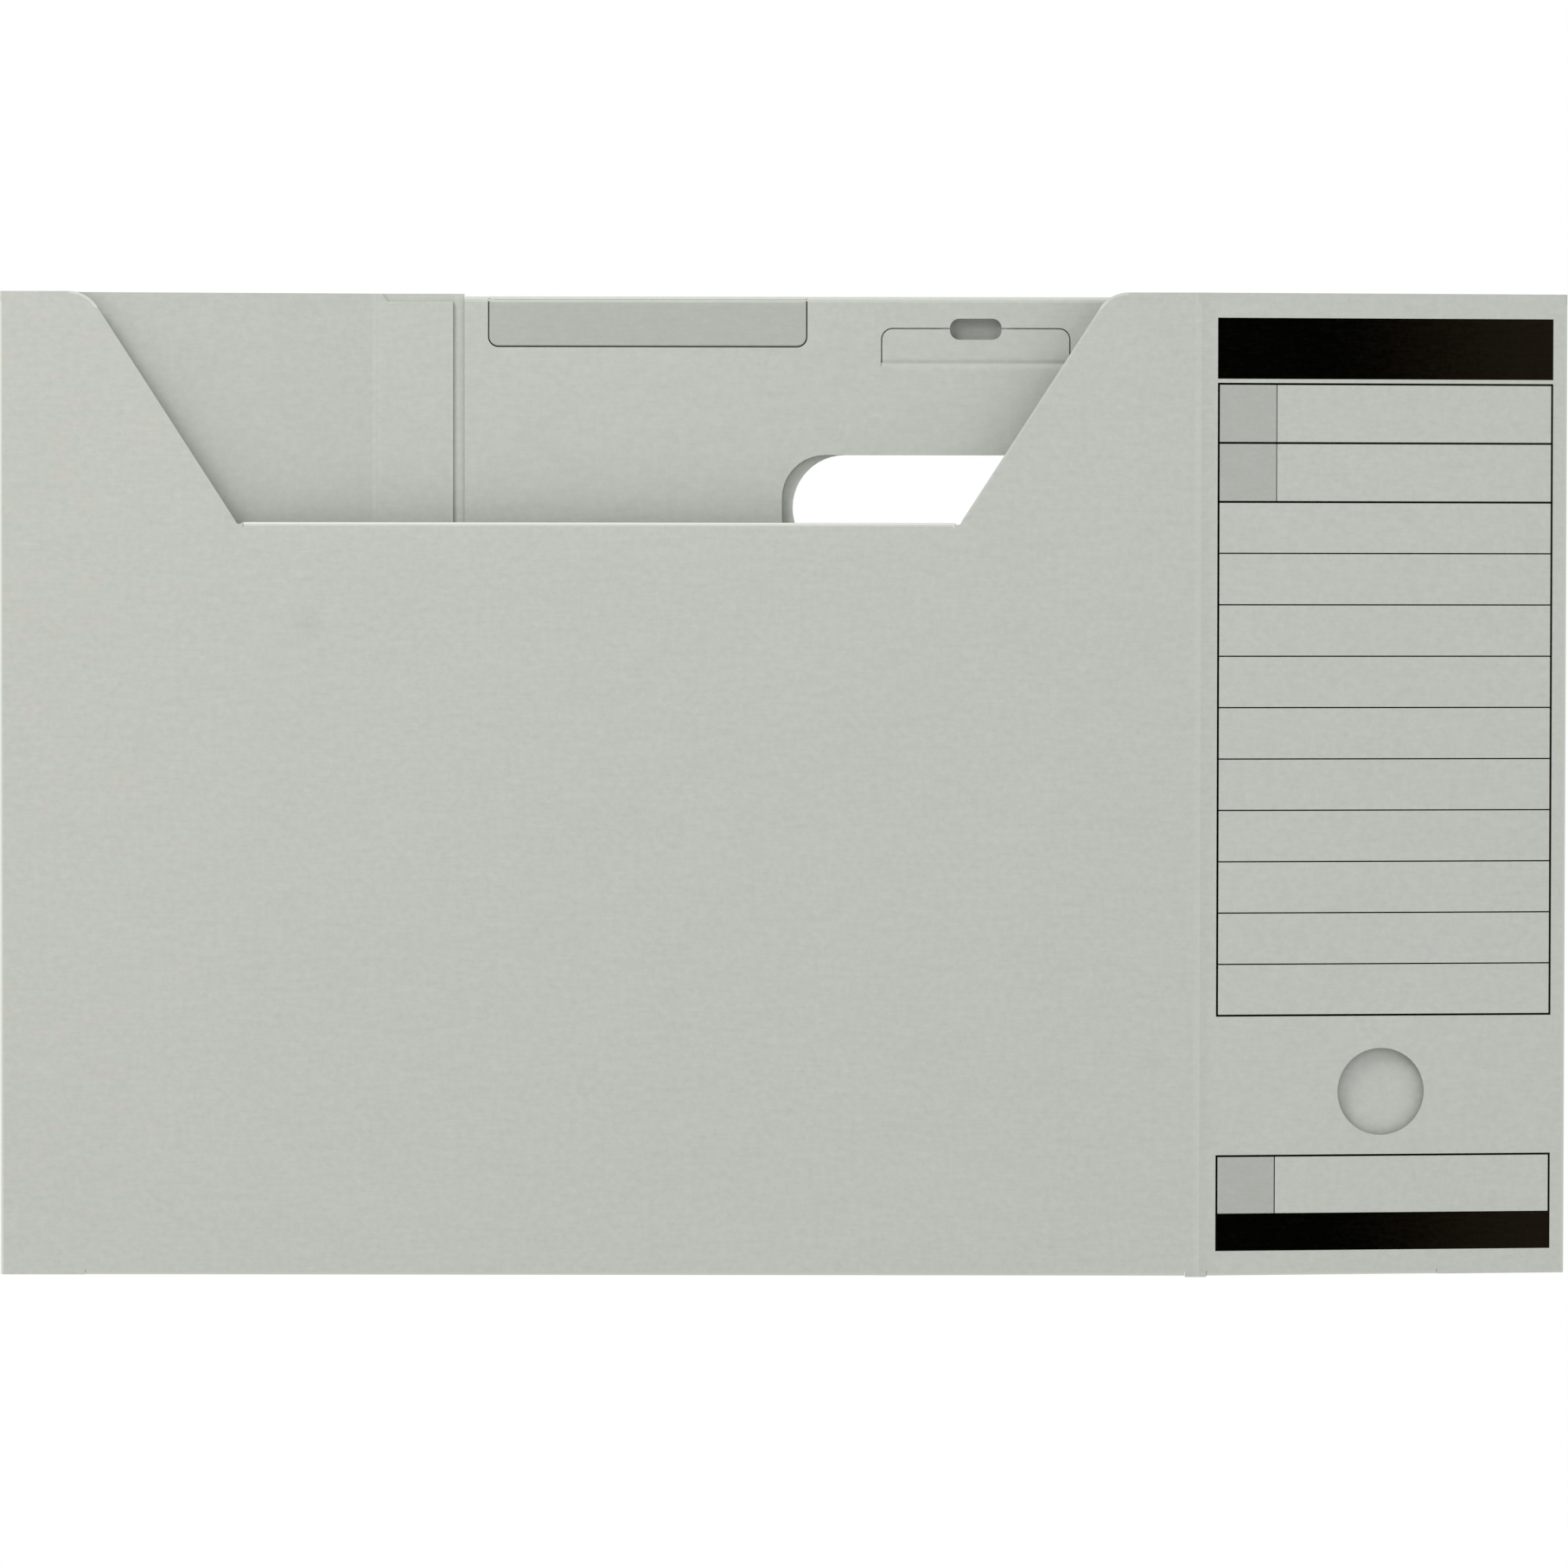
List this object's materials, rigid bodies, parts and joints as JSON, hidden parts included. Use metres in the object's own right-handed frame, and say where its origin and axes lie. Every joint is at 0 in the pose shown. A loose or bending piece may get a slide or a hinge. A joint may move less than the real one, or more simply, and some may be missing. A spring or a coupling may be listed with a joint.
{
  "type": "document file box, folded flat",
  "caption": "Grey board file box folded flat: sleeve of front, spine, back and side with an access cut-away, an inturned lid with locking tab, a hand hole and a finger hole.",
  "frame": {"origin": "middle of the outside at the height of the back panel's outer face, on which the folded box lies", "axes": "+X along the width towards the spine, +Y up the panels towards the top edge, +Z out of the front panel"},
  "size_m": [0.421, 0.264, 0.0137],
  "materials": {
    "grey_board": "uncoated grey board, matt, with fine fibre mottling",
    "print_black": "matt black printing ink on the board",
    "print_grey": "pale grey printed tint on the board"
  },
  "bodies": {
    "root": {"file_box": "grey_board"}
  },
  "joints": []
}
